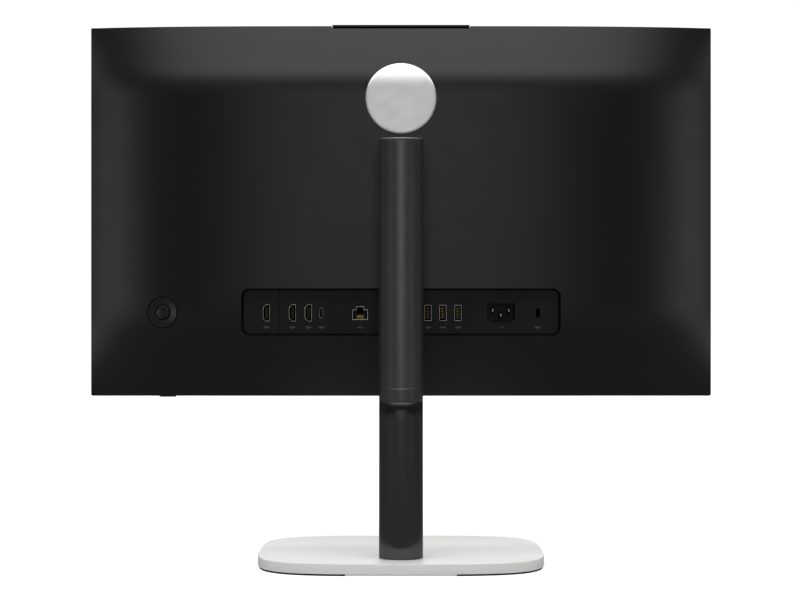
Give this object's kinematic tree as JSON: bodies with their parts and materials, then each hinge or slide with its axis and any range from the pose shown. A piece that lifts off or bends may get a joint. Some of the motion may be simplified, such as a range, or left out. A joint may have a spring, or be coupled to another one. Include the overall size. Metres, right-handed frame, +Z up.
{
  "type": "all-in-one desktop computer",
  "caption": "Desktop computer built into a wide screen, on a round column stand that lifts, tilts and swivels, with a recessed port bay at the back.",
  "frame": {"origin": "on the desk, under the middle of the base", "axes": "+Z up, +X to the right of someone facing the screen, the screen faces -Y and the ports face +Y"},
  "size_m": [0.54, 0.204, 0.4608],
  "materials": {
    "silver_paint": "satin silver paint",
    "plain_steel": "bare sheet and bar steel",
    "bright_steel": "bright plated steel",
    "foot_rubber": "matt black rubber",
    "nylon": "natural nylon",
    "column_skin": "satin dark grey",
    "collar_skin": "glossy dark grey",
    "cover_skin": "fine satin dark grey",
    "black_plastic": "matt black",
    "bezel_gloss": "glossy black",
    "screen_glass": "dark glass over the screen",
    "light_guide": "white tray",
    "polished": "polished",
    "circuit_board": "dark green board",
    "chip": "dark package",
    "gold": "plated contacts",
    "fin_metal": "plain aluminium",
    "lens_glass": "dark lens"
  },
  "bodies": {
    "base": {"base_plate": "silver_paint", "base_weight": "plain_steel", "rubber_feet": "foot_rubber", "swivel_bush": "nylon", "thrust_washer": "nylon"},
    "column": {"mast": "plain_steel", "spindle_nut": "bright_steel", "lower_column_shell": "column_skin", "column_collar": "collar_skin", "upper_column_shell": "column_skin", "column_top_cap": "column_skin", "guide_rods": "bright_steel", "spring_axle": "bright_steel", "lift_spring_strip": "bright_steel"},
    "spring_drum": {"lift_spring_drum": "nylon"},
    "lift": {"carriage": "fin_metal", "carriage_bushes": "nylon", "neck_arm": "plain_steel", "neck_cover": "black_plastic"},
    "fan": {"fan_impeller": "black_plastic"},
    "camera": {"camera_housing": "black_plastic", "camera_cap": "cover_skin", "camera_lens": "lens_glass"},
    "stick_ring": {"gimbal_ring": "nylon"},
    "stick_swing": {"stick_hub": "nylon"},
    "stick_nub": {"stick_cap": "cover_skin"},
    "button": {"power_button": "bezel_gloss"},
    "head": {"tilt_bracket": "plain_steel", "hinge_pin": "bright_steel", "friction_washers": "bright_steel", "mount_pillars": "bright_steel", "mount_screws": "bright_steel", "front_bezel": "bezel_gloss", "lcd_panel": "screen_glass", "backlight_unit": "light_guide", "chassis": "plain_steel", "rear_cover": "cover_skin", "badge": "polished", "recess_rim": "black_plastic", "port_panel": "black_plastic", "port_module_panel": "black_plastic", "video_sockets": "bright_steel", "usb_c_socket": "bright_steel", "network_socket": "bright_steel", "usb_a_sockets": "bright_steel", "power_inlet": "black_plastic", "inlet_pins": "bright_steel", "lock_plate": "bright_steel", "mainboard": "circuit_board", "processor": "chip", "processor_cooler": "fin_metal", "fan_housing": "black_plastic", "memory_module": "circuit_board", "storage_drive": "circuit_board", "power_supply": "plain_steel", "speakers": "black_plastic", "control_ring": "cover_skin", "control_frame": "black_plastic", "control_board": "circuit_board", "camera_guides": "black_plastic"}
  },
  "joints": [
    {"name": "stand_swivel", "type": "hinge", "parent": "base", "child": "column", "pos_m": [0, 0.0604, 0.01], "axis": [0, 0, 1], "range_deg": [-45, 45]},
    {"name": "height_slide", "type": "slide", "parent": "column", "child": "lift", "axis": [0, 0, 1], "range_m": [-0.11, 0], "deforming": ["lift_spring_strip"]},
    {"name": "head_tilt", "type": "hinge", "parent": "lift", "child": "head", "pos_m": [0, 0.014, 0.29965], "axis": [-1, 0, 0], "range_deg": [-5, 20]},
    {"name": "drum_spin", "type": "hinge", "parent": "column", "child": "spring_drum", "pos_m": [0, 0.0614, 0.33815], "axis": [1, 0, 0], "range_deg": [-10, 800]},
    {"name": "camera_rise", "type": "slide", "parent": "head", "child": "camera", "axis": [0, 0, 1], "range_m": [0, 0.024]},
    {"name": "power_press", "type": "slide", "parent": "head", "child": "button", "axis": [0, 0, 1], "range_m": [0, 0.0008], "stiffness_N_per_m": 600, "springref_m": -0.0005},
    {"name": "stick_nod", "type": "hinge", "parent": "head", "child": "stick_ring", "pos_m": [0.20372, -0.01611, 0.2122], "axis": [0.9744, -0.225, 0], "range_deg": [-4, 4], "stiffness_Nm_per_rad": 0.05},
    {"name": "stick_sway", "type": "hinge", "parent": "stick_ring", "child": "stick_swing", "pos_m": [0.20372, -0.01611, 0.2122], "axis": [0, 0, 1], "range_deg": [-4, 4], "stiffness_Nm_per_rad": 0.05},
    {"name": "stick_press", "type": "slide", "parent": "stick_swing", "child": "stick_nub", "axis": [-0.225, -0.9744, 0], "range_m": [0, 0.0006], "stiffness_N_per_m": 800, "springref_m": -0.0004},
    {"name": "fan_spin", "type": "hinge", "parent": "head", "child": "fan", "pos_m": [0.18, -0.025, 0.30465], "axis": [0, 1, 0], "continuous": true}
  ],
  "couplings": [
    {"joint": "drum_spin", "follows": "height_slide", "rad_per_m": -125}
  ]
}
